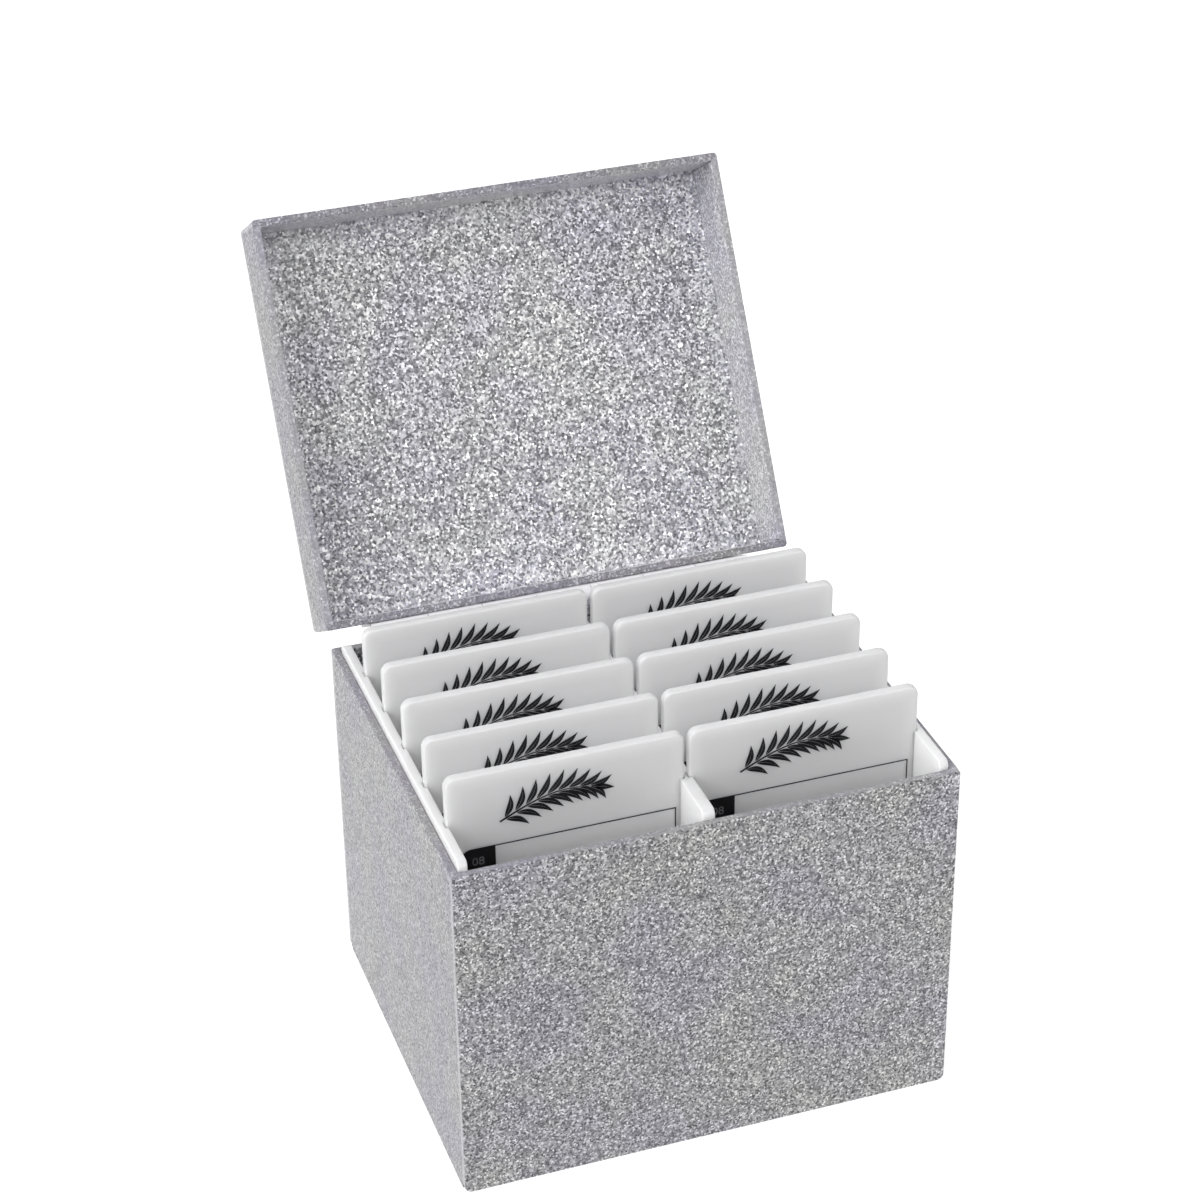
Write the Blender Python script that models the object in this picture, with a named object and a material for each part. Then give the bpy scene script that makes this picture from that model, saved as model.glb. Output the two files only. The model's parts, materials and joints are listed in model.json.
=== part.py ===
"""Eyelash storage box: glitter acrylic case, hinged tray lid and ten slotted-in lash tiles.

The box stands on z = 0 with its front towards -Y. The origin is the centre of its base.
The lid is shown open, leaning back on the stops of its hinge.
"""
import bpy
import bmesh
from math import cos, pi, radians, sin
from mathutils import Matrix, Vector

# Case
BOX_WIDTH = 0.175
BOX_DEPTH = 0.147
BOX_HEIGHT = 0.1295
SHEET = 0.0028
EDGE_ROUND = 0.0004
LOWER_CORNER = 0.0026
UPPER_CORNER = 0.0008
GLUE_GAP = 0.0002
SEAT_GAP = 0.0003

# Slotted inner panels
RAIL_THICKNESS = 0.0033
RAIL_GROOVE_DEPTH = 0.0012
DIVIDER_THICKNESS = 0.0045
DIVIDER_GROOVE_DEPTH = 0.00175
RAIL_PROUD = 0.003
DIVIDER_PROUD = 0.003
RAIL_CORNER = 0.0025
SLOT_CLEARANCE = 0.0003

# Lash tiles
ROWS = 5
ROW_PITCH = 0.0242
TILE_THICKNESS = 0.003
TILE_PROUD = 0.0207
TILE_CORNER = 0.0035
TILE_EDGE_ROUND = 0.0007

# Lid
RIM_GAP = 0.0003
LID_HEADROOM = 0.0013
LID_CORNER = 0.0014
OPEN_ANGLE = radians(121)

# Hinge
HINGE_WIDTH = 0.142
HINGE_KNUCKLES = 7
HINGE_OFFSET = 0.0034
HINGE_RISE = 0.00115
LEAF_HEIGHT = 0.018
LEAF_THICKNESS = 0.001
BARREL_RADIUS = 0.00315
PIN_RADIUS = 0.00125
PIN_CLEARANCE = 0.0001
PIN_CHAMFER = 0.0003
KNUCKLE_GAP = 0.0003
STOP_REACH = 0.002
STOP_THICKNESS = 0.0014
STOP_ROOT = 0.0014
STOP_INSET = 0.001

# Facets of round shapes, and the overrun of every cutter
ARC_STEPS = 8
BARREL_SIDES = 24
CUT_OVERRUN = 0.001

# Places worked out from the sizes above
half_width = BOX_WIDTH / 2
half_depth = BOX_DEPTH / 2
inner_half_depth = half_depth - SHEET
floor_top = SHEET
rail_bottom = floor_top + GLUE_GAP
rail_top = BOX_HEIGHT + RAIL_PROUD
divider_top = BOX_HEIGHT + DIVIDER_PROUD
rail_outer = half_width - SHEET - GLUE_GAP
rail_inner = rail_outer - RAIL_THICKNESS
tile_outer = rail_inner + RAIL_GROOVE_DEPTH - SLOT_CLEARANCE
tile_inner = DIVIDER_THICKNESS / 2 - DIVIDER_GROOVE_DEPTH + SLOT_CLEARANCE
tile_bottom = floor_top + SEAT_GAP
tile_top = BOX_HEIGHT + TILE_PROUD
row_places = [(row - (ROWS - 1) / 2) * ROW_PITCH for row in range(ROWS)]
lid_rim = BOX_HEIGHT + RIM_GAP
lid_ceiling = tile_top + LID_HEADROOM
hinge_axis = Vector((0, half_depth + HINGE_OFFSET, BOX_HEIGHT + HINGE_RISE))


def clear_scene():
    for old in list(bpy.data.objects):
        bpy.data.objects.remove(old, do_unlink=True)


def make_material(name, colour, roughness, metallic=0.0, alpha=1.0):
    """A Principled material of one colour, given as linear red, green and blue."""
    material = bpy.data.materials.new(name)
    material.use_nodes = True
    shader = material.node_tree.nodes["Principled BSDF"]
    shader.inputs["Base Color"].default_value = (*colour, 1.0)
    shader.inputs["Roughness"].default_value = roughness
    shader.inputs["Metallic"].default_value = metallic
    shader.inputs["Alpha"].default_value = alpha
    material.diffuse_color = (*colour, 1.0)
    return material


def add_object(name, mesh_builder, material, parent=None, origin=Vector()):
    """Turn a bmesh, drawn about the origin given, into a named object under its parent."""
    mesh = bpy.data.meshes.new(name)
    bmesh.ops.recalc_face_normals(mesh_builder, faces=mesh_builder.faces)
    mesh_builder.to_mesh(mesh)
    mesh_builder.free()
    if material:
        mesh.materials.append(material)
    piece = bpy.data.objects.new(name, mesh)
    bpy.context.collection.objects.link(piece)
    piece.parent = parent
    piece.location = origin
    return piece


def rounded_outline(low, high, lower_radius, upper_radius):
    """Corners of a rectangle in a plane, anticlockwise, with its lower and upper ones rounded."""
    points = []
    for turn, (at_right, at_top) in enumerate(((0, 0), (1, 0), (1, 1), (0, 1))):
        radius = upper_radius if at_top else lower_radius
        corner_u = high[0] - radius if at_right else low[0] + radius
        corner_v = high[1] - radius if at_top else low[1] + radius
        steps = ARC_STEPS if radius else 0
        for step in range(steps + 1):
            angle = pi + (turn + step / max(steps, 1)) * pi / 2
            points.append((corner_u + radius * cos(angle), corner_v + radius * sin(angle)))
    return points


def extruded(outline, start, end, axis):
    """A solid with this outline, drawn square to the axis, that runs from start to end."""
    body = bmesh.new()
    other = [line for line in range(3) if line != axis]
    rings = []
    for along in (start, end):
        ring = []
        for u, v in outline:
            place = Vector()
            place[axis] = along
            place[other[0]] = u
            place[other[1]] = v
            ring.append(body.verts.new(place))
        rings.append(ring)
    body.faces.new(rings[0])
    body.faces.new(rings[1])
    for first in range(len(outline)):
        second = (first + 1) % len(outline)
        body.faces.new((rings[0][first], rings[0][second], rings[1][second], rings[1][first]))
    return body


def block(low, high):
    """A plain rectangular solid between two corners."""
    return extruded(rounded_outline(low[:2], high[:2], 0, 0), low[2], high[2], 2)


def cylinder(radius, start, end):
    """A round bar along X, between two places, about the X axis."""
    turns = [2 * pi * side / BARREL_SIDES for side in range(BARREL_SIDES)]
    return extruded([(radius * cos(turn), radius * sin(turn)) for turn in turns], start, end, 0)


def joined(bodies):
    """Several solids in one bmesh."""
    whole = bmesh.new()
    for body in bodies:
        spare = bpy.data.meshes.new("spare")
        body.to_mesh(spare)
        body.free()
        whole.from_mesh(spare)
        bpy.data.meshes.remove(spare)
    return whole


def soften(piece, width, segments=2):
    """Round the sharp edges, as flame polishing or moulding leaves them."""
    bevel = piece.modifiers.new("edge_round", "BEVEL")
    bevel.width = width
    bevel.segments = segments
    bevel.limit_method = "ANGLE"
    bevel.angle_limit = radians(35)


def combine(piece, name, body, operation):
    """Cut a solid from the piece, or add it, with a hidden helper object."""
    helper = add_object(name, body, None, piece.parent, piece.location)
    helper.hide_render = True
    helper.display_type = "WIRE"
    boolean = piece.modifiers.new(name, "BOOLEAN")
    boolean.object = helper
    boolean.operation = operation
    boolean.solver = "EXACT"


def panel_along_y(name, x_low, x_high, z_low, z_high, y_start, lower, upper, material, parent=None):
    """A sheet panel that faces the front or the back."""
    outline = rounded_outline((x_low, z_low), (x_high, z_high), lower, upper)
    piece = add_object(name, extruded(outline, y_start, y_start + SHEET, 1), material, parent)
    soften(piece, EDGE_ROUND)
    return piece


def panel_along_x(name, x_start, z_low, z_high, material, parent=None):
    """A sheet panel that faces left or right, set between the front and the back panel."""
    reach = inner_half_depth - GLUE_GAP
    outline = rounded_outline((-reach, z_low), (reach, z_high), 0, 0)
    piece = add_object(name, extruded(outline, x_start, x_start + SHEET, 0), material, parent)
    soften(piece, EDGE_ROUND)
    return piece


def build_case(glitter):
    """Four walls and a floor, glued edge to face."""
    for name, y_start in (("front_wall", -half_depth), ("back_wall", inner_half_depth)):
        panel_along_y(name, -half_width, half_width, 0, BOX_HEIGHT, y_start,
                      LOWER_CORNER, UPPER_CORNER, glitter)
    for name, x_start in (("left_wall", -half_width), ("right_wall", half_width - SHEET)):
        panel_along_x(name, x_start, 0, BOX_HEIGHT, glitter)
    floor_x = half_width - SHEET - GLUE_GAP
    floor_y = inner_half_depth - GLUE_GAP
    floor = add_object("floor_panel", block((-floor_x, -floor_y, 0), (floor_x, floor_y, SHEET)), glitter)
    soften(floor, EDGE_ROUND)


def groove_cutters(groove_bottom, past_face, top):
    """One upright cutter for each row of tiles, from a groove's bottom to past the panel's face."""
    half_slot = TILE_THICKNESS / 2 + SLOT_CLEARANCE
    x_low, x_high = sorted((groove_bottom, past_face))
    cutters = []
    for place in row_places:
        low = (x_low, place - half_slot, rail_bottom - CUT_OVERRUN)
        high = (x_high, place + half_slot, top + CUT_OVERRUN)
        cutters.append(block(low, high))
    return cutters


def slotted_panel(name, x_low, x_high, top, cutters, white):
    """An upright white panel, its top corners rounded, with its grooves cut."""
    reach = inner_half_depth - GLUE_GAP
    outline = rounded_outline((-reach, rail_bottom), (reach, top), 0, RAIL_CORNER)
    panel = add_object(name, extruded(outline, x_low, x_high, 0), white)
    soften(panel, EDGE_ROUND)
    combine(panel, name + "_grooves", joined(cutters), "DIFFERENCE")


def build_inner_panels(white):
    """A grooved rail on each side wall and a divider grooved on both faces."""
    for name, side in (("left_rail", -1), ("right_rail", 1)):
        x_low, x_high = sorted((side * rail_inner, side * rail_outer))
        groove_bottom = side * (rail_inner + RAIL_GROOVE_DEPTH)
        past_face = side * (rail_inner - CUT_OVERRUN)
        cutters = groove_cutters(groove_bottom, past_face, rail_top)
        slotted_panel(name, x_low, x_high, rail_top, cutters, white)
    half_divider = DIVIDER_THICKNESS / 2
    cutters = []
    for side in (-1, 1):
        groove_bottom = side * (half_divider - DIVIDER_GROOVE_DEPTH)
        cutters += groove_cutters(groove_bottom, side * (half_divider + CUT_OVERRUN), divider_top)
    slotted_panel("divider", -half_divider, half_divider, divider_top, cutters, white)


def build_tiles(frosted):
    """Five tiles in each column, every one an object whose origin is the foot of its slide."""
    width = tile_outer - tile_inner
    height = tile_top - tile_bottom
    outline = rounded_outline((-width / 2, 0), (width / 2, height), TILE_CORNER, TILE_CORNER)
    for column, side in (("left", -1), ("right", 1)):
        for row, place in enumerate(row_places, start=1):
            body = extruded(outline, -TILE_THICKNESS / 2, TILE_THICKNESS / 2, 1)
            origin = Vector((side * (tile_inner + width / 2), place, tile_bottom))
            tile = add_object(f"tile_{column}_{row}", body, frosted, origin=origin)
            soften(tile, TILE_EDGE_ROUND, segments=3)
            tile.data.shade_smooth()
            tile.data.set_sharp_from_angle(angle=radians(35))


def make_lid_frame():
    """An empty on the hinge axis, turned to the open lid. What it carries is drawn shut."""
    lid_frame = bpy.data.objects.new("lid_frame", None)
    bpy.context.collection.objects.link(lid_frame)
    lid_frame.location = hinge_axis
    lid_frame.rotation_euler = (-OPEN_ANGLE, 0, 0)
    return lid_frame


def build_lid(glitter, lid_frame):
    """A tray of four flanges under one panel, drawn shut about the hinge axis."""
    front = -half_depth - hinge_axis.y
    back = inner_half_depth - hinge_axis.y
    rim = lid_rim - hinge_axis.z
    ceiling = lid_ceiling - hinge_axis.z
    flange_top = ceiling - GLUE_GAP
    for name, y_start, front_radius, back_radius in (("lid_front_flange", front, LID_CORNER, 0),
                                                     ("lid_back_flange", back, 0, LID_CORNER)):
        outline = rounded_outline((-half_width, y_start), (half_width, y_start + SHEET), front_radius, back_radius)
        flange = add_object(name, extruded(outline, rim, flange_top, 2), glitter, lid_frame)
        soften(flange, EDGE_ROUND)
    for name, x_start in (("lid_left_flange", -half_width), ("lid_right_flange", half_width - SHEET)):
        flange = panel_along_x(name, x_start, rim, flange_top, glitter, lid_frame)
        flange.location.y = -hinge_axis.y
    outline = rounded_outline((-half_width, front), (half_width, front + BOX_DEPTH), LID_CORNER, LID_CORNER)
    top = add_object("lid_top_panel", extruded(outline, ceiling, ceiling + SHEET, 2), glitter, lid_frame)
    soften(top, EDGE_ROUND)


def knuckle_spans(first):
    """Start and end along X of every second knuckle, with no gap taken off."""
    length = HINGE_WIDTH / HINGE_KNUCKLES
    starts = [-HINGE_WIDTH / 2 + place * length for place in range(first, HINGE_KNUCKLES, 2)]
    return [(start, start + length) for start in starts]


def hinge_leaf(name, way, own_first, other_first, extra, plastic, parent, origin):
    """A flat leaf and its share of the barrel, about the hinge axis. way is -1 down or 1 up."""
    inner_face = -HINGE_OFFSET + GLUE_GAP
    z_low, z_high = sorted((0, way * LEAF_HEIGHT))
    plate = block((-HINGE_WIDTH / 2, inner_face, z_low),
                  (HINGE_WIDTH / 2, inner_face + LEAF_THICKNESS, z_high))
    leaf = add_object(name, plate, plastic, parent, origin)
    combine(leaf, name + "_barrel", cylinder(BARREL_RADIUS, -HINGE_WIDTH / 2, HINGE_WIDTH / 2), "UNION")
    clear_radius = BARREL_RADIUS + KNUCKLE_GAP
    past_barrel = clear_radius + CUT_OVERRUN
    notch_low, notch_high = sorted((way * clear_radius, -way * past_barrel))
    notches = []
    for start, end in knuckle_spans(other_first):
        x_low = start - (CUT_OVERRUN if start <= -HINGE_WIDTH / 2 else KNUCKLE_GAP / 2)
        x_high = end + (CUT_OVERRUN if end >= HINGE_WIDTH / 2 else KNUCKLE_GAP / 2)
        notches.append(block((x_low, -past_barrel, notch_low), (x_high, past_barrel, notch_high)))
    combine(leaf, name + "_notches", joined(notches), "DIFFERENCE")
    if extra:
        combine(leaf, name + "_stops", joined(extra), "UNION")
    overrun_end = HINGE_WIDTH / 2 + CUT_OVERRUN
    bore = cylinder(PIN_RADIUS + PIN_CLEARANCE, -overrun_end, overrun_end)
    combine(leaf, name + "_bore", bore, "DIFFERENCE")


def stop_lugs():
    """Lugs on the lid's knuckles that come to rest behind the box leaf when the lid is open."""
    near = -HINGE_OFFSET + GLUE_GAP + LEAF_THICKNESS + SEAT_GAP
    lugs = []
    for start, end in knuckle_spans(1):
        low = (start + STOP_INSET, near, -BARREL_RADIUS - STOP_REACH)
        high = (end - STOP_INSET, near + STOP_THICKNESS, -BARREL_RADIUS + STOP_ROOT)
        lug = block(low, high)
        bmesh.ops.rotate(lug, cent=(0, 0, 0), matrix=Matrix.Rotation(OPEN_ANGLE, 3, "X"), verts=lug.verts)
        lugs.append(lug)
    return lugs


def build_hinge(plastic, steel, lid_frame):
    """A long plastic hinge behind the box, its steel pin held by the box leaf."""
    hinge_leaf("hinge_box_leaf", -1, 0, 1, [], plastic, None, hinge_axis)
    hinge_leaf("hinge_lid_leaf", 1, 1, 0, stop_lugs(), plastic, lid_frame, Vector())
    pin = add_object("hinge_pin", cylinder(PIN_RADIUS, -HINGE_WIDTH / 2, HINGE_WIDTH / 2), steel,
                     origin=hinge_axis)
    soften(pin, PIN_CHAMFER, segments=1)


clear_scene()
glitter_acrylic = make_material("glitter_acrylic", (0.42, 0.42, 0.45), 0.25)
white_acrylic = make_material("white_acrylic", (0.86, 0.86, 0.87), 0.3)
frosted_tile = make_material("frosted_tile", (0.68, 0.68, 0.69), 0.4)
hinge_plastic = make_material("hinge_plastic", (0.7, 0.69, 0.74), 0.35)
pin_steel = make_material("pin_steel", (0.6, 0.6, 0.62), 0.3, metallic=1.0)

build_case(glitter_acrylic)
build_inner_panels(white_acrylic)
build_tiles(frosted_tile)
open_lid = make_lid_frame()
build_lid(glitter_acrylic, open_lid)
build_hinge(hinge_plastic, pin_steel, open_lid)
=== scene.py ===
import bpy
import bmesh
import json
from math import atan2, cos, pi, radians, sin
from mathutils import Matrix, Vector


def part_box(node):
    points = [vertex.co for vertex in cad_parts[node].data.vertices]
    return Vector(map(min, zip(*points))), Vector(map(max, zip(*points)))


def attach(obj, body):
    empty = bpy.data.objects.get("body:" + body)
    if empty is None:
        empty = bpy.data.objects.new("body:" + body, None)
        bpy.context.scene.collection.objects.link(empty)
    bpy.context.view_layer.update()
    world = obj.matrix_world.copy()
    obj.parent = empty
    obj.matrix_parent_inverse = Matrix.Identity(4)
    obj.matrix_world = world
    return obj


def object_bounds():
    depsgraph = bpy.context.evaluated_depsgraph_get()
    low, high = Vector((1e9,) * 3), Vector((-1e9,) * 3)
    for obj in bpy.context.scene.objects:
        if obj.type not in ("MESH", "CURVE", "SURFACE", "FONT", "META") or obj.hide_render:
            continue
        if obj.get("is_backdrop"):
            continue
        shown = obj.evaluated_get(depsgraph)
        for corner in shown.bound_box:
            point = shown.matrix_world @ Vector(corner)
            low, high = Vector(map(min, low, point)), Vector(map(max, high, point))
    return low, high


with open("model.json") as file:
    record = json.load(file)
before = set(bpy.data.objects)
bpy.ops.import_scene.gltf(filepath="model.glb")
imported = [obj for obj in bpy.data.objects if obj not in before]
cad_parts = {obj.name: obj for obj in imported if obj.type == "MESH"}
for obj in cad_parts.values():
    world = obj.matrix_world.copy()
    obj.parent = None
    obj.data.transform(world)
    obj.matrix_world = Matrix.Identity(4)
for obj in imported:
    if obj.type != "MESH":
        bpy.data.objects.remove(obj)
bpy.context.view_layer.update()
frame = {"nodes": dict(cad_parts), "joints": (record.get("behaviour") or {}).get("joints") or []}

nodes = frame["nodes"]

# Case walls and floor
# Five panels sawn from cast acrylic sheet that is full of silver polyester glitter. They are cemented edge to
# face. Real flakes are 0.2 to 0.4 mm wide, which is too fine to show, so they are drawn about twice as wide.
MM = 0.001
FLAKE_WIDTH = 0.65 * MM
FLAKE_LEAN = 0.9
FLAKE_ROUGHNESS = 0.35
FLAKE_SPECULAR = 0.1
CLOUD_WIDTH = 30.0 * MM
CLOUD_DETAIL = 3.0
CLOUD_TINTS = [(0.35, "#F3F1FA"), (0.65, "#FBFBF8")]
MEAN_COLOUR = (0.5, 0.5, 0.5)
FACE_START = 0.55
FACE_FULL = 0.8
SKIN_ROUGHNESS = 0.05
ACRYLIC_IOR = 1.49


def srgb(hex_colour):
    """The linear colour of an sRGB hex value."""
    channels = [int(hex_colour[place:place + 2], 16) / 255 for place in (1, 3, 5)]
    linear = [c / 12.92 if c <= 0.04045 else ((c + 0.055) / 1.055) ** 2.4 for c in channels]
    return (*linear, 1.0)


def add_node(owner, kind, settings, inputs):
    """Add a node to a material or world, apply its settings, and set or link each of its inputs.

    A colour ramp's stops are pairs of a place and an sRGB hex value.
    """
    tree = owner.node_tree
    node = tree.nodes.new("ShaderNode" + kind)
    for name, value in settings.items():
        if name == "stops":
            stops = node.color_ramp.elements
            while len(stops) < len(value):
                stops.new(1.0)
            for stop, (place, hex_colour) in zip(stops, value):
                stop.position = place
                stop.color = srgb(hex_colour)
        else:
            setattr(node, name, value)
    for name, value in inputs.items():
        if isinstance(value, bpy.types.NodeSocket):
            tree.links.new(value, node.inputs[name])
        else:
            node.inputs[name].default_value = value
    return node


def new_material(name, roughness, ior=None):
    """A material with a starting roughness and the real substance's IOR. A metal keeps the shader's own."""
    material = bpy.data.materials.new(name)
    material.use_nodes = True
    shader = material.node_tree.nodes["Principled BSDF"]
    shader.inputs["Roughness"].default_value = roughness
    if ior is not None:
        shader.inputs["IOR"].default_value = ior
    return material, shader


def glitter_acrylic(name, sheet_normal, middle, flake, look):
    """Cast glitter acrylic: tilted silver flakes of many tones under a clear polished skin.

    A look holds three colour ramps for the flakes: on faces that look away from the middle, on faces that
    look towards it, and on cut edges, where the polish leaves a smooth tone. It also holds how metallic the
    flakes shine, and how much of the clear skin's gloss shows.
    """
    material, shader = new_material(name, FLAKE_ROUGHNESS, ACRYLIC_IOR)
    link = material.node_tree.links.new
    place = add_node(material, "TexCoord", {}, {})
    flakes = add_node(material, "TexVoronoi", {"voronoi_dimensions": "3D", "feature": "F1"},
                      {"Vector": place.outputs["Object"], "Scale": 1 / flake})
    draw = add_node(material, "TexWhiteNoise", {"noise_dimensions": "3D"},
                    {"Vector": flakes.outputs["Position"]})
    outside_tone = add_node(material, "ValToRGB", {"stops": look["outside"]}, {"Fac": draw.outputs["Value"]})
    # The ramp for faces that look towards the middle can carry painted light: on the lid it is lighter than
    # outside.
    inside_tone = add_node(material, "ValToRGB", {"stops": look["inside"]}, {"Fac": draw.outputs["Value"]})
    from_middle = add_node(material, "VectorMath", {"operation": "SUBTRACT"},
                           {0: place.outputs["Object"], 1: middle})
    outwardness = add_node(material, "VectorMath", {"operation": "DOT_PRODUCT"},
                           {0: place.outputs["Normal"], 1: from_middle.outputs[0]})
    on_outside = add_node(material, "Math", {"operation": "GREATER_THAN"},
                          {0: outwardness.outputs["Value"], 1: 0.0})
    face_tone = add_node(material, "Mix", {"data_type": "RGBA"},
                         {0: on_outside.outputs[0], 6: inside_tone.outputs[0], 7: outside_tone.outputs[0]})
    edge_tone = add_node(material, "ValToRGB", {"stops": look["edge"]}, {"Fac": draw.outputs["Value"]})
    square_on = add_node(material, "VectorMath", {"operation": "DOT_PRODUCT"},
                         {0: place.outputs["Normal"], 1: sheet_normal})
    unsigned = add_node(material, "Math", {"operation": "ABSOLUTE"}, {0: square_on.outputs["Value"]})
    on_face = add_node(material, "MapRange", {"interpolation_type": "SMOOTHSTEP"},
                       {"Value": unsigned.outputs[0], "From Min": FACE_START, "From Max": FACE_FULL})
    tone = add_node(material, "Mix", {"data_type": "RGBA"},
                    {0: on_face.outputs[0], 6: edge_tone.outputs[0], 7: face_tone.outputs[2]})
    clouds = add_node(material, "TexNoise", {"noise_dimensions": "3D"},
                      {"Vector": place.outputs["Object"], "Scale": 1 / CLOUD_WIDTH, "Detail": CLOUD_DETAIL})
    tint = add_node(material, "ValToRGB", {"stops": CLOUD_TINTS}, {"Fac": clouds.outputs["Fac"]})
    colour = add_node(material, "Mix", {"data_type": "RGBA", "blend_type": "MULTIPLY"},
                      {0: 1.0, 6: tone.outputs[2], 7: tint.outputs[0]})
    link(colour.outputs[2], shader.inputs["Base Color"])
    if look["metal"] > 0.0:
        metal = add_node(material, "Math", {"operation": "MULTIPLY"},
                         {0: on_face.outputs[0], 1: look["metal"]})
        link(metal.outputs[0], shader.inputs["Metallic"])
    spread = add_node(material, "VectorMath", {"operation": "SUBTRACT"},
                      {0: flakes.outputs["Color"], 1: MEAN_COLOUR})
    lean = add_node(material, "Math", {"operation": "MULTIPLY"}, {0: on_face.outputs[0], 1: FLAKE_LEAN})
    leaning = add_node(material, "VectorMath", {"operation": "SCALE"},
                       {0: spread.outputs[0], "Scale": lean.outputs[0]})
    surface = add_node(material, "NewGeometry", {}, {})
    tilted = add_node(material, "VectorMath", {"operation": "ADD"},
                      {0: surface.outputs["Normal"], 1: leaning.outputs[0]})
    flake_normal = add_node(material, "VectorMath", {"operation": "NORMALIZE"}, {0: tilted.outputs[0]})
    link(flake_normal.outputs[0], shader.inputs["Normal"])
    shader.inputs["Specular IOR Level"].default_value = FLAKE_SPECULAR
    shader.inputs["Coat Weight"].default_value = look["skin"]
    shader.inputs["Coat Roughness"].default_value = SKIN_ROUGHNESS
    shader.inputs["Coat IOR"].default_value = ACRYLIC_IOR
    return material


def dress(names, material):
    """Give CAD nodes their finish."""
    for name in names:
        for held in nodes[name].material_slots:
            held.material = material


# The front and back sparkle from dark grey to white. The sides are the same sheet. Their flakes are painted
# in calmer tones to suit the light that falls on them from the left, which is painted light, and they show
# less gloss.
sparkling_flakes = [(0.0, "#505054"), (0.3, "#8C8C8F"), (0.7, "#B7B7B9"), (0.9, "#E2E2E3"), (1.0, "#FFFFFF")]
side_painted_light_flakes = [(0.0, "#747478"), (0.4, "#949497"), (0.8, "#B0B0B2"), (1.0, "#D4D4D6")]
lilac_edge = [(0.0, "#8B8A8E"), (0.6, "#9B9A9E"), (0.9, "#ACACAF"), (1.0, "#C6C6C8")]
sparkling = {"outside": sparkling_flakes, "inside": sparkling_flakes, "edge": lilac_edge,
             "metal": 0.25, "skin": 0.7}
side_painted_light_look = {"outside": side_painted_light_flakes, "inside": side_painted_light_flakes, "edge": lilac_edge, "metal": 0.08, "skin": 0.15}
front_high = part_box("front_wall")[1]
case_middle = (0, 0, front_high.z / 2)
front_glitter = glitter_acrylic("glitter_acrylic_front", (0, 1, 0), case_middle, FLAKE_WIDTH, sparkling)
side_glitter = glitter_acrylic("glitter_acrylic_side", (1, 0, 0), case_middle, FLAKE_WIDTH, side_painted_light_look)
floor_glitter = glitter_acrylic("glitter_acrylic_floor", (0, 0, 1), case_middle, FLAKE_WIDTH, sparkling)
dress(["front_wall", "back_wall"], front_glitter)
dress(["left_wall", "right_wall"], side_glitter)
dress(["floor_panel"], floor_glitter)

# Case joints
# Solvent cement fills the hairline between each side wall and the walls that it stands between. It has set
# flush, and the joint keeps the look of the sheet.
EDGE_ROUND = 0.4 * MM
SEAM_FOOT = 1.2 * MM


def seam_bead(seams, stations, across, gap, depth):
    """A bead of cement along a butt joint: it fills the hairline and the groove of its two rounded edges."""
    half_gap = gap / 2
    shoulder = EDGE_ROUND * (1.0 - cos(pi / 4))
    profile = [(half_gap + EDGE_ROUND, 0.0), (half_gap + shoulder, shoulder)]
    profile += [(half_gap, EDGE_ROUND), (half_gap, depth)]
    profile += [(-aside, deep) for aside, deep in reversed(profile)]
    rings = []
    for at, outward in stations:
        corners = [Vector(at) + across * aside - outward * deep for aside, deep in profile]
        rings.append([seams.verts.new(corner) for corner in corners])
    faces = [seams.faces.new(rings[0]), seams.faces.new(rings[-1][::-1])]
    for ring, ahead in zip(rings, rings[1:]):
        for first in range(len(profile)):
            second = (first + 1) % len(profile)
            faces.append(seams.faces.new((ring[second], ring[first], ahead[first], ahead[second])))
    return faces


def seam_object(seams, name, body, materials):
    """Turn the beads into one piece that rides on a body."""
    bmesh.ops.recalc_face_normals(seams, faces=seams.faces)
    mesh = bpy.data.meshes.new(name)
    seams.to_mesh(mesh)
    seams.free()
    for material in materials:
        mesh.materials.append(material)
    piece = bpy.data.objects.new(name, mesh)
    bpy.context.scene.collection.objects.link(piece)
    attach(piece, body)


backward = Vector((0, 1, 0))
upward = Vector((0, 0, 1))
wall_low, wall_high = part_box("left_wall")
sheet_thickness = wall_high.x - wall_low.x
hairline = wall_low.y - front_high.y
joint_place = wall_low.y - hairline / 2
rim_height = wall_high.z
seams = bmesh.new()
for side_x in (-1, 1):
    outward = Vector((side_x, 0, 0))
    outer = side_x * -wall_low.x
    for side_y in (-1, 1):
        at_y = side_y * -joint_place
        side_seam = [((outer, at_y, height), outward) for height in (SEAM_FOOT, rim_height - EDGE_ROUND)]
        seam_bead(seams, side_seam, backward, hairline, sheet_thickness)
        rim_ends = (outer - side_x * EDGE_ROUND, outer - side_x * sheet_thickness)
        rim_seam = [((along, at_y, rim_height), upward) for along in rim_ends]
        seam_bead(seams, rim_seam, backward, hairline, sheet_thickness)
seam_object(seams, "case_cement_joints", "box", [side_glitter])

# Inner panels
# A rail on each side wall and a divider down the middle, laser-cut from opal white acrylic and grooved.
# They are cemented in. The white plastic glows a little. Their upward faces are painted a shade greyer than
# their sides, which is painted shade that holds back the light falling on them from above.
OPAL_ROUGHNESS = 0.3
OPAL_PATCH = 22.2 * MM
OPAL_GLOW = 0.7
OPAL_DEPTH = 4.0 * MM
EVEN_SPREAD = (1.0, 1.0, 1.0)
TOP_SHADE_START = 0.3
TOP_SHADE_FULL = 0.95
opal_white, shader = new_material("opal_white_acrylic", OPAL_ROUGHNESS, ACRYLIC_IOR)
place = add_node(opal_white, "TexCoord", {}, {})
patches = add_node(opal_white, "TexNoise", {}, {"Vector": place.outputs["Object"], "Scale": 1 / OPAL_PATCH})
side_tone = add_node(opal_white, "ValToRGB", {"stops": [(0.3, "#F3F3F4"), (0.7, "#F7F7F6")]},
                     {"Fac": patches.outputs["Fac"]})
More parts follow.
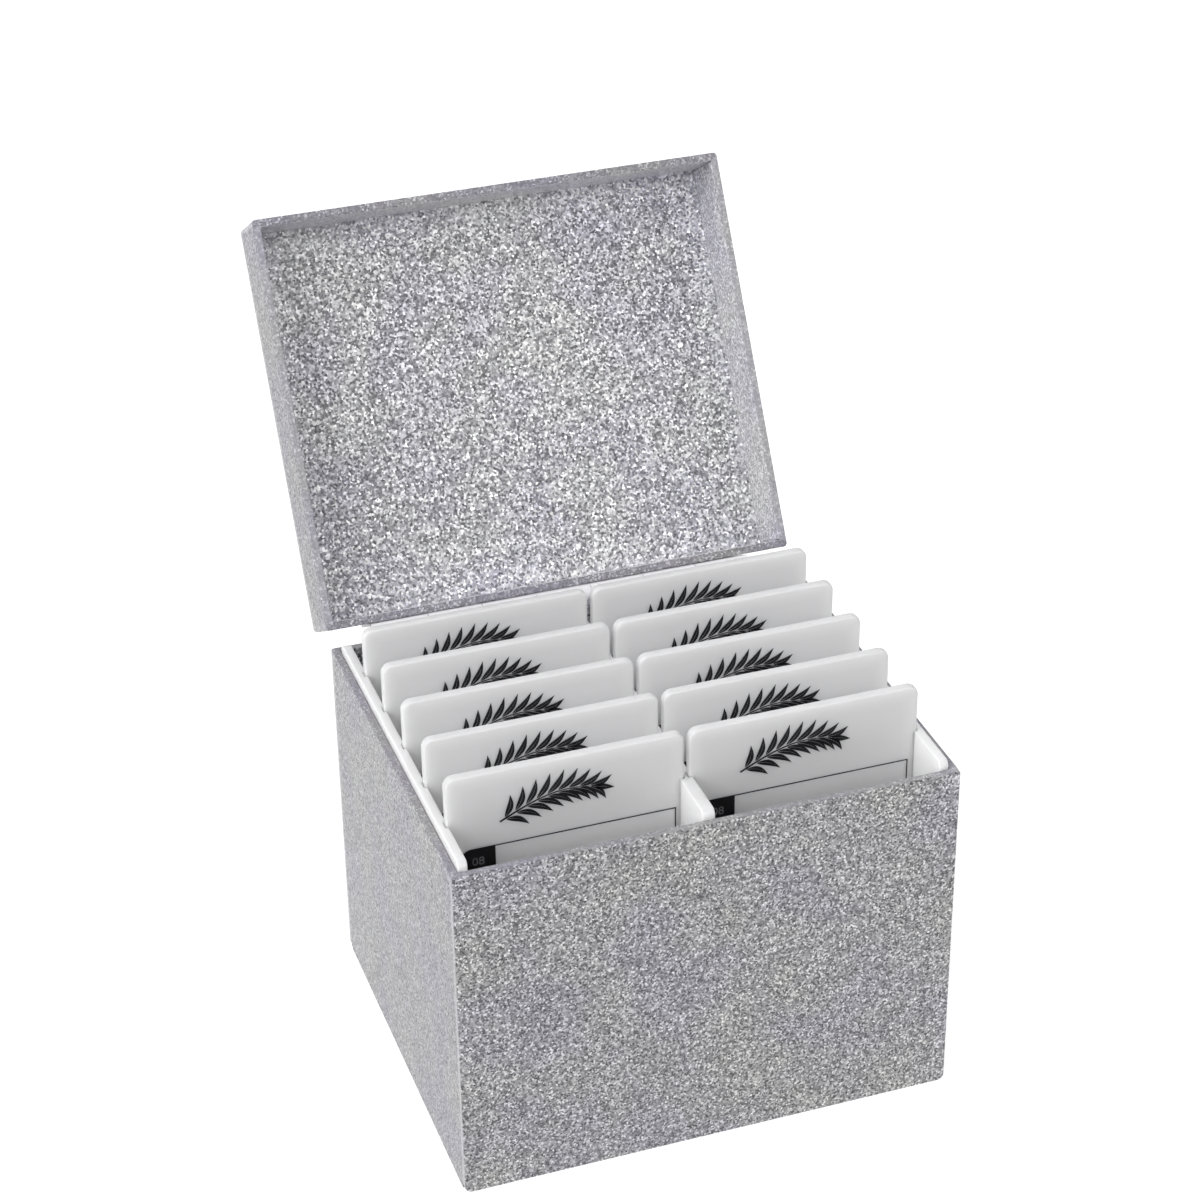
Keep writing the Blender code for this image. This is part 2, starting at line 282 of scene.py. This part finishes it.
normal = add_node(opal_white, "SeparateXYZ", {}, {0: place.outputs["Normal"]})
# Painted shade: faces that look upward get the greyer tone.
painted_top_shade = add_node(opal_white, "MapRange", {"interpolation_type": "SMOOTHSTEP"},
                  {"Value": normal.outputs["Z"], "From Min": TOP_SHADE_START, "From Max": TOP_SHADE_FULL})
opal_tone_with_top_shade = add_node(opal_white, "Mix", {"data_type": "RGBA"},
                     {0: painted_top_shade.outputs[0], 6: side_tone.outputs[0], 7: srgb("#E4E4E5")})
opal_white.node_tree.links.new(opal_tone_with_top_shade.outputs[2], shader.inputs["Base Color"])
shader.inputs["Subsurface Weight"].default_value = OPAL_GLOW
shader.inputs["Subsurface Radius"].default_value = EVEN_SPREAD
shader.inputs["Subsurface Scale"].default_value = OPAL_DEPTH
dress(["left_rail", "right_rail", "divider"], opal_white)

# Lash tiles
# Ten plates of milky acrylic, satin on the face and rounded at the edge. They stand in the panels' grooves
# and lift out. Light spreads far through the milky plastic. A plate's face is painted a shade paler towards
# its edges, which is painted light, and its rounded edges and sides a shade darker, which is painted shade.
MILK_ROUGHNESS = 0.4
MILK_GLOW = 1.0
MILK_DEPTH = 6.0 * MM
PAINTED_LIGHT_BORDER = 6.0 * MM
CORNER_BLEND = 4.0 * MM
PLATE_START = 0.85
PLATE_FULL = 1.0


def edge_distance(material, parts, axis, length):
    """How far a place on a plate is from the nearer of its two edges along one axis."""
    nearer = add_node(material, "Math", {"operation": "PINGPONG"}, {0: parts.outputs[axis], 1: 0.5})
    distance = add_node(material, "Math", {"operation": "MULTIPLY"}, {0: nearer.outputs[0], 1: length})
    return distance.outputs[0]


tile_low, tile_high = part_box("tile_left_1")
tile_milk, shader = new_material("satin_milk_acrylic", MILK_ROUGHNESS, ACRYLIC_IOR)
place = add_node(tile_milk, "TexCoord", {}, {})
parts = add_node(tile_milk, "SeparateXYZ", {}, {0: place.outputs["Generated"]})
side_distance = edge_distance(tile_milk, parts, "X", tile_high.x - tile_low.x)
end_distance = edge_distance(tile_milk, parts, "Z", tile_high.z - tile_low.z)
inset = add_node(tile_milk, "Math", {"operation": "SMOOTH_MIN"},
                 {0: side_distance, 1: end_distance, 2: CORNER_BLEND})
# Painted light: the face's colour grows paler towards the plate's edges.
border = add_node(tile_milk, "MapRange", {},
                  {"Value": inset.outputs[0], "From Min": 0.0, "From Max": PAINTED_LIGHT_BORDER})
painted_light_plate_tones = [(0.0, "#E8E8E8"), (0.5, "#E4E4E4"), (1.0, "#DFDFE0")]
painted_light_plate_tone = add_node(tile_milk, "ValToRGB", {"stops": painted_light_plate_tones}, {"Fac": border.outputs[0]})
normal = add_node(tile_milk, "SeparateXYZ", {}, {0: place.outputs["Normal"]})
unsigned = add_node(tile_milk, "Math", {"operation": "ABSOLUTE"}, {0: normal.outputs["Y"]})
on_plate = add_node(tile_milk, "MapRange", {"interpolation_type": "SMOOTHSTEP"},
                    {"Value": unsigned.outputs[0], "From Min": PLATE_START, "From Max": PLATE_FULL})
# Painted shade: the rounded edges and sides grow darker the more they turn away from the face.
bevel_shade_tones = [(0.2, "#D1D1D2"), (0.7, "#D9D9DA")]
edge_tone = add_node(tile_milk, "ValToRGB", {"stops": bevel_shade_tones}, {"Fac": unsigned.outputs[0]})
tile_tone = add_node(tile_milk, "Mix", {"data_type": "RGBA"},
                     {0: on_plate.outputs[0], 6: edge_tone.outputs[0], 7: painted_light_plate_tone.outputs[0]})
tile_milk.node_tree.links.new(tile_tone.outputs[2], shader.inputs["Base Color"])
shader.inputs["Subsurface Weight"].default_value = MILK_GLOW
shader.inputs["Subsurface Radius"].default_value = EVEN_SPREAD
shader.inputs["Subsurface Scale"].default_value = MILK_DEPTH
tile_names = [f"tile_{column}_{row}" for column in ("left", "right") for row in range(1, 6)]
dress(tile_names, tile_milk)

# Tile print
# Screen-printed black ink on each tile's front: a leafy sprig above a framed table of rows, whose black
# labels have plain row numbers. The ink stands a few hundredths of a millimetre proud.
INK_GAP = 0.01 * MM
INK_THICKNESS = 0.05 * MM
INK_IOR = 1.5
BLACK_ROUGHNESS = 0.45
GREY_ROUGHNESS = 0.5
BLACK_TONES = [(0.3, "#0C0C0E"), (0.7, "#17171A")]
GREY_TONES = [(0.3, "#6A6A6D"), (0.7, "#7C7C80")]
INK_MOTTLE = 1.1 * MM
SPRIG_START = (18.0 * MM, -20.0 * MM)
SPRIG_SPAN = 32.0 * MM
SPRIG_RISE = 7.5 * MM
SPRIG_ARCH = radians(122)
STEM_STEPS = 20
STEM_WIDTH = 0.7 * MM
STEM_TAPER = 0.7
STEM_NUDGE = 0.01
LEAF_PAIRS = 9
FIRST_PAIR = 0.06
PAIR_SPREAD = 0.9
LEAF_STEPS = 10
LEAF_LENGTH = 10.0 * MM
LEAF_LEAST = 0.55
FULLNESS_START = 0.2
FULLNESS_SPAN = 0.65
LEAF_WIDTH = 2.2 * MM
LEAF_ANGLE = radians(52)
LEAF_CLOSING = 0.4
LEAF_BEND = 1.0 * MM
LEAF_ROOT = 0.02
LEAF_BELLY = 0.8
LEAF_TIP = 0.03 * MM
ROOT_ASIDE = 0.6 * STEM_WIDTH
TIP_LEAF = 0.7
TIP_STRETCH = 0.03
TIP_GAP = 0.3
VEIN_WIDTH = 0.15 * MM
VEIN_LIMIT = 0.4
TABLE_TOP = -28.5 * MM
TABLE_LEFT = 4.4 * MM
TABLE_RIGHT = 78.4 * MM
LABEL_RIGHT = 16.2 * MM
LABEL_GAP = 0.02 * MM
LABEL_CORNER = 3.6 * MM
SMALL_CORNER = 0.3 * MM
CORNER_PARTS = 6
ROW_COUNT = 8
ROW_HEIGHT = 14.2 * MM
ROW_GAP = 0.6 * MM
LINE_WIDTH = 0.42 * MM
NUMBER_SIZE = 4.4 * MM
NUMBER_MIDDLE = 10.3 * MM
NUMBER_DROP = 5.2 * MM
NUMBER_LIFT = 1.6 * INK_THICKNESS
NUMBER_CURVE_STEPS = 3
FIRST_NUMBER = 8


def ink_plate(ink, outline):
    """Add one closed shape of ink: an outline in the tile's face, as thick as the ink lies."""
    sheets = []
    for depth in (-INK_GAP, -INK_GAP - INK_THICKNESS):
        sheets.append([ink.verts.new((u, depth, v)) for u, v in outline])
    back, front = sheets
    ink.faces.new(back)
    ink.faces.new(front[::-1])
    for first in range(len(outline)):
        second = (first + 1) % len(outline)
        ink.faces.new((back[second], back[first], front[first], front[second]))


def print_leaf(ink, base, heading, length, bend):
    """A slender bowed leaf of two halves, with a bare vein between them."""
    along = Vector((cos(heading), sin(heading)))
    aside = Vector((-along.y, along.x))
    for side in (1, -1):
        outer, inner = [], []
        for step in range(LEAF_STEPS + 1):
            share = LEAF_ROOT + (1.0 - LEAF_ROOT) * step / LEAF_STEPS
            middle = Vector(base) + along * length * share + aside * bend * sin(pi * share)
            swell = LEAF_WIDTH / 2 * sin(pi * share ** LEAF_BELLY)
            vein = min(VEIN_WIDTH / 2 * (1.0 - share), swell * VEIN_LIMIT)
            inner.append(tuple(middle + aside * side * vein))
            outer.append(tuple(middle + aside * side * max(swell, LEAF_TIP)))
        outline = outer + inner[::-1]
        ink_plate(ink, outline if side < 0 else outline[::-1])


def stem_place(share):
    """A point along the sprig's arched stem."""
    u = SPRIG_START[0] + SPRIG_SPAN * share
    v = SPRIG_START[1] + SPRIG_RISE * sin(share * SPRIG_ARCH)
    return Vector((u, v))


def stem_frame(share):
    """A point along the stem, with the directions ahead and aside of it there."""
    ahead = stem_place(share + STEM_NUDGE) - stem_place(share - STEM_NUDGE)
    aside = Vector((-ahead.y, ahead.x)).normalized()
    return stem_place(share), ahead, aside


def round_corner_block(left, bottom, right, top, corner):
    """A block with only its upper left corner rounded."""
    points = [(left, bottom), (right, bottom), (right, top)]
    for step in range(CORNER_PARTS + 1):
        angle = pi / 2 + step / CORNER_PARTS * pi / 2
        points.append((left + corner + corner * cos(angle), top - corner + corner * sin(angle)))
    return points


def screen_ink(name, roughness, tones):
    """Screen ink: a dull, opaque film, mottled a little where it lies on the satin face."""
    material, shader = new_material(name, roughness, INK_IOR)
    place = add_node(material, "TexCoord", {}, {})
    mottle = add_node(material, "TexNoise", {}, {"Vector": place.outputs["Object"], "Scale": 1 / INK_MOTTLE})
    tone = add_node(material, "ValToRGB", {"stops": tones}, {"Fac": mottle.outputs["Fac"]})
    material.node_tree.links.new(tone.outputs[0], shader.inputs["Base Color"])
    return material


# The sprig: a tapering stem, then pairs of leaves along it, then one leaf at its tip.
ink = bmesh.new()
upper, lower = [], []
for step in range(STEM_STEPS + 1):
    share = step / STEM_STEPS
    here, ahead, aside = stem_frame(share)
    half = STEM_WIDTH / 2 * (1.0 - STEM_TAPER * share)
    upper.append(tuple(here + aside * half))
    lower.append(tuple(here - aside * half))
ink_plate(ink, lower + upper[::-1])
for pair in range(LEAF_PAIRS):
    share = FIRST_PAIR + PAIR_SPREAD * pair / (LEAF_PAIRS - 1)
    here, ahead, aside = stem_frame(share)
    heading = atan2(ahead.y, ahead.x)
    fullness = sin(pi * (FULLNESS_START + FULLNESS_SPAN * share))
    length = LEAF_LENGTH * (LEAF_LEAST + (1.0 - LEAF_LEAST) * fullness)
    for side in (1, -1):
        root = here + aside * side * ROOT_ASIDE
        lean = heading + side * LEAF_ANGLE * (1.0 - LEAF_CLOSING * share)
        print_leaf(ink, root, lean, length, -side * LEAF_BEND)
tip = stem_place(1.0)
tip_ahead = tip - stem_place(1.0 - TIP_STRETCH)
tip_heading = atan2(tip_ahead.y, tip_ahead.x)
print_leaf(ink, tip + tip_ahead * TIP_GAP, tip_heading, LEAF_LENGTH * TIP_LEAF, 0.0)

# The table: three thin lines round its right side, and a column of black labels with numbers on its left.
table_bottom = TABLE_TOP - ROW_COUNT * ROW_HEIGHT
inner_right = TABLE_RIGHT - LINE_WIDTH
inner_bottom = table_bottom + LINE_WIDTH
inner_top = TABLE_TOP - LINE_WIDTH
frame_outer = [(LABEL_RIGHT, TABLE_TOP), (TABLE_RIGHT, TABLE_TOP)]
frame_outer += [(TABLE_RIGHT, table_bottom), (LABEL_RIGHT, table_bottom)]
frame_inner = [(LABEL_RIGHT, inner_bottom), (inner_right, inner_bottom)]
frame_inner += [(inner_right, inner_top), (LABEL_RIGHT, inner_top)]
ink_plate(ink, (frame_outer + frame_inner)[::-1])
for row in range(ROW_COUNT):
    top = TABLE_TOP - row * ROW_HEIGHT
    bottom = top - ROW_HEIGHT + ROW_GAP
    corner = LABEL_CORNER if row == 0 else SMALL_CORNER
    ink_plate(ink, round_corner_block(TABLE_LEFT, bottom, LABEL_RIGHT - LABEL_GAP, top, corner))
    number = bpy.data.curves.new("row_number", "FONT")
    number.body = f"{FIRST_NUMBER + row:02d}"
    number.size = NUMBER_SIZE
    number.align_x = "CENTER"
    number.align_y = "CENTER"
    number.resolution_u = NUMBER_CURVE_STEPS
    number.extrude = INK_THICKNESS / 2
    writer = bpy.data.objects.new("row_number", number)
    letters = bpy.data.meshes.new_from_object(writer)
    middle = (NUMBER_MIDDLE, -INK_GAP - NUMBER_LIFT, top - NUMBER_DROP)
    letters.transform(Matrix.Translation(middle) @ Matrix.Rotation(pi / 2, 4, "X"))
    for polygon in letters.polygons:
        polygon.material_index = 1
    ink.from_mesh(letters)
    bpy.data.objects.remove(writer)
    bpy.data.curves.remove(number)
    bpy.data.meshes.remove(letters)
print_mesh = bpy.data.meshes.new("tile_print")
ink.to_mesh(print_mesh)
ink.free()
print_mesh.materials.append(screen_ink("black_screen_ink", BLACK_ROUGHNESS, BLACK_TONES))
print_mesh.materials.append(screen_ink("grey_screen_ink", GREY_ROUGHNESS, GREY_TONES))
for name in tile_names:
    low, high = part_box(name)
    printed = bpy.data.objects.new(name.replace("tile", "print"), print_mesh)
    bpy.context.scene.collection.objects.link(printed)
    printed.location = (low.x, low.y, high.z)
    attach(printed, name)

# Hinge
# A long strip hinge extruded in off-white plastic, with a drawn steel pin through its knuckles. It is glued
# behind the box and the lid. Both finishes show faint lines that the dies left along their length.
HINGE_IOR = 1.5
HINGE_ROUGHNESS = 0.38
PIN_ROUGHNESS = 0.3
DIE_LINE_LENGTH = 25.0 * MM
DIE_LINE_WIDTH = 0.67 * MM
PIN_LINE_LENGTH = 16.7 * MM
PIN_LINE_WIDTH = 0.25 * MM


def die_lines(material, shader, length, width, tones):
    """Tone a finish in fine lines that run along the hinge."""
    place = add_node(material, "TexCoord", {}, {})
    drawn = add_node(material, "Mapping", {},
                     {"Vector": place.outputs["Object"], "Scale": (1 / length, 1 / width, 1 / width)})
    lines = add_node(material, "TexNoise", {}, {"Vector": drawn.outputs[0], "Scale": 1.0})
    tone = add_node(material, "ValToRGB", {"stops": tones}, {"Fac": lines.outputs["Fac"]})
    material.node_tree.links.new(tone.outputs[0], shader.inputs["Base Color"])


hinge_white, shader = new_material("extruded_white_plastic", HINGE_ROUGHNESS, HINGE_IOR)
die_lines(hinge_white, shader, DIE_LINE_LENGTH, DIE_LINE_WIDTH, [(0.3, "#F1F0F4"), (0.7, "#F7F6F9")])
dress(["hinge_box_leaf", "hinge_lid_leaf"], hinge_white)
pin_steel, shader = new_material("drawn_steel", PIN_ROUGHNESS)
shader.inputs["Metallic"].default_value = 1.0
die_lines(pin_steel, shader, PIN_LINE_LENGTH, PIN_LINE_WIDTH, [(0.3, "#B4B4B7"), (0.7, "#CFCFD2")])
dress(["hinge_pin"], pin_steel)

# Lid
# A tray of the same sheet: one broad panel with four flanges cemented under it. The sheet lets some light
# through, and the tray's inside is painted in lighter tones than its outside, which is painted light. The
# painted light is strongest where the panel meets a flange, with a pale haze there that is a painted
# reflection of the flange, and it is light low down on the open lid, where the white tiles shine on it.
LID_FLAKE_WIDTH = 0.78 * MM
LIGHT_REACH = 14.0 * MM
LIGHT_SHARES = [(0.0, "#FFFFFF"), (0.25, "#C4C4C4"), (0.6, "#808080"), (1.0, "#000000")]
TILE_LIGHT = 0.2
TILE_LIGHT_REACH = 0.7
REFLECTION_HAZE = 0.4
INSIDE_LIMIT = -0.8
lid_hinge = next(joint for joint in frame["joints"] if joint["name"] == "lid_hinge")
lid_lean = radians(-lid_hinge["range_deg"][0]) - pi / 2
lid_up = (0, sin(lid_lean), cos(lid_lean))
lid_back = (0, cos(lid_lean), -sin(lid_lean))
left_low, left_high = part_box("lid_left_flange")
right_low, right_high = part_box("lid_right_flange")
tray_middle = (left_low + left_high + right_low + right_high) / 4
# Painted light: the inside ramps of the panel and flanges are lighter than the sheet's outside tones.
tray_painted_light_flakes = [(0.0, "#5E5E62"), (0.3, "#959599"), (0.6, "#BEBEC2"), (0.82, "#F4F4F6"), (0.9, "#FFFFFF")]
flank_painted_light_flakes = [(0.0, "#949498"), (0.4, "#B6B6BA"), (0.8, "#DCDCE0"), (1.0, "#FFFFFF")]
end_painted_light_flakes = [(0.0, "#B0B0B4"), (0.35, "#E8E8EC"), (0.6, "#FFFFFF")]
grey_edge = [(0.0, "#7F7E83"), (0.5, "#949398"), (0.85, "#ACABB0"), (1.0, "#DCDCDF")]
pale_edge = [(0.0, "#9E9EA2"), (0.6, "#B2B2B6"), (0.9, "#C6C6C9"), (1.0, "#E0E0E2")]
tray_look = {"outside": sparkling_flakes, "inside": tray_painted_light_flakes, "edge": lilac_edge,
             "metal": 0.45, "skin": 0.7}
end_look = {"outside": sparkling_flakes, "inside": end_painted_light_flakes, "edge": grey_edge, "metal": 0.0, "skin": 0.3}
side_look = {"outside": side_painted_light_flakes, "inside": flank_painted_light_flakes, "edge": pale_edge, "metal": 0.05, "skin": 0.1}
panel_glitter = glitter_acrylic("glitter_acrylic_lid", lid_back, tray_middle, LID_FLAKE_WIDTH, tray_look)
end_glitter = glitter_acrylic("glitter_acrylic_lid_ends", lid_up, tray_middle, FLAKE_WIDTH, end_look)
flank_glitter = glitter_acrylic("glitter_acrylic_lid_sides", (1, 0, 0), tray_middle, FLAKE_WIDTH, side_look)

# The painted light on the tray's inside adds a share of the flakes' own colour to it, and some pale haze of
# painted reflection. The share is drawn as a grey, which falls from white at the panel's edge to black at
# LIGHT_REACH from it.
open_low, open_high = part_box("lid_top_panel")
panel_length = (open_high.z - open_low.z) / cos(lid_lean)
place = add_node(panel_glitter, "TexCoord", {}, {})
parts = add_node(panel_glitter, "SeparateXYZ", {}, {0: place.outputs["Generated"]})
side_distance = edge_distance(panel_glitter, parts, "X", open_high.x - open_low.x)
end_distance = edge_distance(panel_glitter, parts, "Z", panel_length)
inset = add_node(panel_glitter, "Math", {"operation": "MINIMUM"}, {0: side_distance, 1: end_distance})
span = add_node(panel_glitter, "Math", {"operation": "DIVIDE"}, {0: inset.outputs[0], 1: LIGHT_REACH})
edge_light = add_node(panel_glitter, "ValToRGB", {"stops": LIGHT_SHARES}, {"Fac": span.outputs[0]})
tile_light = add_node(panel_glitter, "MapRange", {},
                      {"Value": parts.outputs["Z"], "From Min": 0.0, "From Max": TILE_LIGHT_REACH,
                       "To Min": TILE_LIGHT, "To Max": 0.0})
light = add_node(panel_glitter, "Math", {"operation": "MAXIMUM"},
                 {0: edge_light.outputs[0], 1: tile_light.outputs[0]})
backwardness = add_node(panel_glitter, "VectorMath", {"operation": "DOT_PRODUCT"},
                        {0: place.outputs["Normal"], 1: lid_back})
on_inside = add_node(panel_glitter, "Math", {"operation": "LESS_THAN"},
                     {0: backwardness.outputs["Value"], 1: INSIDE_LIMIT})
light_share = add_node(panel_glitter, "Math", {"operation": "MULTIPLY"},
                       {0: light.outputs[0], 1: on_inside.outputs[0]})
panel_colour = panel_glitter.node_tree.nodes["Principled BSDF"].inputs["Base Color"]
unlit = panel_colour.links[0].from_socket
lit = add_node(panel_glitter, "Mix", {"data_type": "RGBA", "blend_type": "ADD", "clamp_result": True},
               {0: light_share.outputs[0], 6: unlit, 7: unlit})
# Painted reflection: a pale haze near the flanges, mixed in with the painted light.
reflection_haze_share = add_node(panel_glitter, "Math", {"operation": "MULTIPLY"}, {0: light_share.outputs[0], 1: REFLECTION_HAZE})
with_reflection_haze = add_node(panel_glitter, "Mix", {"data_type": "RGBA"},
                {0: reflection_haze_share.outputs[0], 6: lit.outputs[2], 7: srgb("#DADAE0")})
panel_glitter.node_tree.links.new(with_reflection_haze.outputs[2], panel_colour)
dress(["lid_top_panel"], panel_glitter)
dress(["lid_front_flange", "lid_back_flange"], end_glitter)
dress(["lid_left_flange", "lid_right_flange"], flank_glitter)

# Lid joints
# The same cement between the lid's flanges at their corners, and between the flanges and the panel. The beads
# are laid out on the shut lid, where they are level, and then turned open with it.
LID_CORNER = 1.4 * MM
CORNER_STEPS = 8
CORNER_SEAM_DEPTH = 1.2 * MM
hinge_place = Vector(lid_hinge["pos_m"])
opening = Matrix.Rotation(radians(lid_hinge["range_deg"][0]), 4, "X")
to_open = Matrix.Translation(hinge_place) @ opening @ Matrix.Translation(-hinge_place)
to_shut = to_open.inverted()


def shut_box(name):
    """A lid node's lowest and highest corner with the lid shut."""
    places = [to_shut @ nodes[name].matrix_world @ vertex.co for vertex in nodes[name].data.vertices]
    lowest = Vector([min(place[line] for place in places) for line in range(3)])
    highest = Vector([max(place[line] for place in places) for line in range(3)])
    return lowest, highest


flank_low, flank_high = shut_box("lid_left_flange")
panel_low, panel_high = shut_box("lid_top_panel")
corner_place = flank_low.y - hairline / 2
ceiling_place = panel_low.z - hairline / 2
rim_low = flank_low.z
lid_middle = (panel_low.y + panel_high.y) / 2
lid_half = (panel_high.y - panel_low.y) / 2
flank_reach = lid_half - LID_CORNER
end_reach = panel_high.x - LID_CORNER
seams = bmesh.new()
for side_x in (-1, 1):
    outward = Vector((side_x, 0, 0))
    outer = side_x * panel_high.x
    for side_y in (-1, 1):
        at_y = lid_middle + side_y * (lid_middle - corner_place)
        flank_seam = [((outer, at_y, height), outward) for height in (rim_low + EDGE_ROUND, flank_high.z)]
        seam_bead(seams, flank_seam, backward, hairline, sheet_thickness)
        rim_ends = (outer - side_x * EDGE_ROUND, outer - side_x * sheet_thickness)
        rim_seam = [((along, at_y, rim_low), -upward) for along in rim_ends]
        seam_bead(seams, rim_seam, backward, hairline, sheet_thickness)
        turning_point = Vector((side_x * end_reach, lid_middle + side_y * flank_reach, ceiling_place))
        corner_seam = []
        for step in range(CORNER_STEPS + 1):
            turn = step / CORNER_STEPS * pi / 2
            facing = Vector((side_x * cos(turn), side_y * sin(turn), 0))
            corner_seam.append((turning_point + facing * LID_CORNER, facing))
        seam_bead(seams, corner_seam, upward, hairline, CORNER_SEAM_DEPTH)
    flank_ends = (lid_middle - flank_reach, lid_middle + flank_reach)
    ceiling_seam = [((outer, along, ceiling_place), outward) for along in flank_ends]
    seam_bead(seams, ceiling_seam, upward, hairline, sheet_thickness)
for side_y in (-1, 1):
    outward = Vector((0, side_y, 0))
    at_y = lid_middle + side_y * lid_half
    ceiling_seam = [((along, at_y, ceiling_place), outward) for along in (-end_reach, end_reach)]
    for face in seam_bead(seams, ceiling_seam, upward, hairline, sheet_thickness):
        face.material_index = 1
bmesh.ops.transform(seams, matrix=to_open, verts=seams.verts)
seam_object(seams, "lid_cement_joints", "lid", [flank_glitter, end_glitter])

# Studio
# A white paper table that is lit from below, a ring of soft lamps above it, and one broad lamp on the left.
# The table shows to the camera and in reflections, and the grey below the horizon gives the light from it.
FLOOR_HALF = 8.0
FLOOR_PARTS = 8
PAPER_IOR = 1.5
PAPER_ROUGHNESS = 0.9
PAPER_PATCH = 330.0 * MM
TABLE_GLOW = 0.8
RING_LIGHT = 2.0
LAMP_POWER = 2.0
LAMP_SPREAD = radians(60)
LAMP_FROM = (-0.84, -0.26, 0.47)
floor_mesh = bpy.data.meshes.new("floor")
paper = bmesh.new()
bmesh.ops.create_grid(paper, x_segments=FLOOR_PARTS, y_segments=FLOOR_PARTS, size=FLOOR_HALF)
paper.to_mesh(floor_mesh)
paper.free()
floor = bpy.data.objects.new("floor", floor_mesh)
bpy.context.scene.collection.objects.link(floor)
floor_paper, shader = new_material("white_paper_floor", PAPER_ROUGHNESS, PAPER_IOR)
place = add_node(floor_paper, "TexCoord", {}, {})
pulp = add_node(floor_paper, "TexNoise", {}, {"Vector": place.outputs["Object"], "Scale": 1 / PAPER_PATCH})
paper_tone = add_node(floor_paper, "ValToRGB", {"stops": [(0.3, "#9E9E9E"), (0.7, "#A0A0A0")]},
                      {"Fac": pulp.outputs["Fac"]})
floor_paper.node_tree.links.new(paper_tone.outputs[0], shader.inputs["Base Color"])
shader.inputs["Emission Color"].default_value = srgb("#FFFFFF")
shader.inputs["Emission Strength"].default_value = TABLE_GLOW
floor_mesh.materials.append(floor_paper)
floor.visible_diffuse = False
floor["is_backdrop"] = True

world = bpy.data.worlds.new("studio")
bpy.context.scene.world = world
world.use_nodes = True
around = add_node(world, "TexCoord", {}, {})
parts = add_node(world, "SeparateXYZ", {}, {0: around.outputs["Generated"]})
height = add_node(world, "MapRange", {}, {"Value": parts.outputs["Z"], "From Min": -1.0, "From Max": 1.0})
# The sky's bands run from straight down at 0, past the horizon at a half, to straight up at 1.
ring_tones = [(0.48, "#8A8A8A"), (0.52, "#303030"), (0.62, "#595959"), (0.68, "#959595"),
              (0.75, "#CBCBCB"), (0.8, "#FFFFFF"), (0.86, "#FFFFFF"), (0.91, "#303030")]
ring = add_node(world, "ValToRGB", {"stops": ring_tones}, {"Fac": height.outputs[0]})
background = world.node_tree.nodes["Background"]
background.inputs["Strength"].default_value = RING_LIGHT
world.node_tree.links.new(ring.outputs[0], background.inputs["Color"])
lamp_data = bpy.data.lights.new("key", "SUN")
lamp_data.energy = LAMP_POWER
lamp_data.angle = LAMP_SPREAD
lamp = bpy.data.objects.new("key", lamp_data)
bpy.context.scene.collection.objects.link(lamp)
lamp.rotation_euler = Vector(LAMP_FROM).to_track_quat("Z", "Y").to_euler()

# Camera
# It stands where the photograph was taken from: in front of the box, above it and a little to its left. Its
# place, lean and lens were solved from the box's straight edges.
CAMERA_PLACE = (-0.2975, -0.8414, 0.7016)
CAMERA_HEADING = radians(18.735)
CAMERA_DOWN = radians(30.669)
CAMERA_ROLL = radians(-0.802)
CAMERA_LENS = 93.32
SENSOR_WIDTH = 36.0
camera_data = bpy.data.cameras.new("camera")
camera_data.lens = CAMERA_LENS
camera_data.sensor_width = SENSOR_WIDTH
camera = bpy.data.objects.new("camera", camera_data)
bpy.context.scene.collection.objects.link(camera)
camera.matrix_world = (Matrix.Translation(CAMERA_PLACE) @ Matrix.Rotation(-CAMERA_HEADING, 4, "Z")
                       @ Matrix.Rotation(pi / 2 - CAMERA_DOWN, 4, "X") @ Matrix.Rotation(CAMERA_ROLL, 4, "Z"))
bpy.context.scene.camera = camera
bpy.context.scene.view_settings.view_transform = "Standard"

low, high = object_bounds()
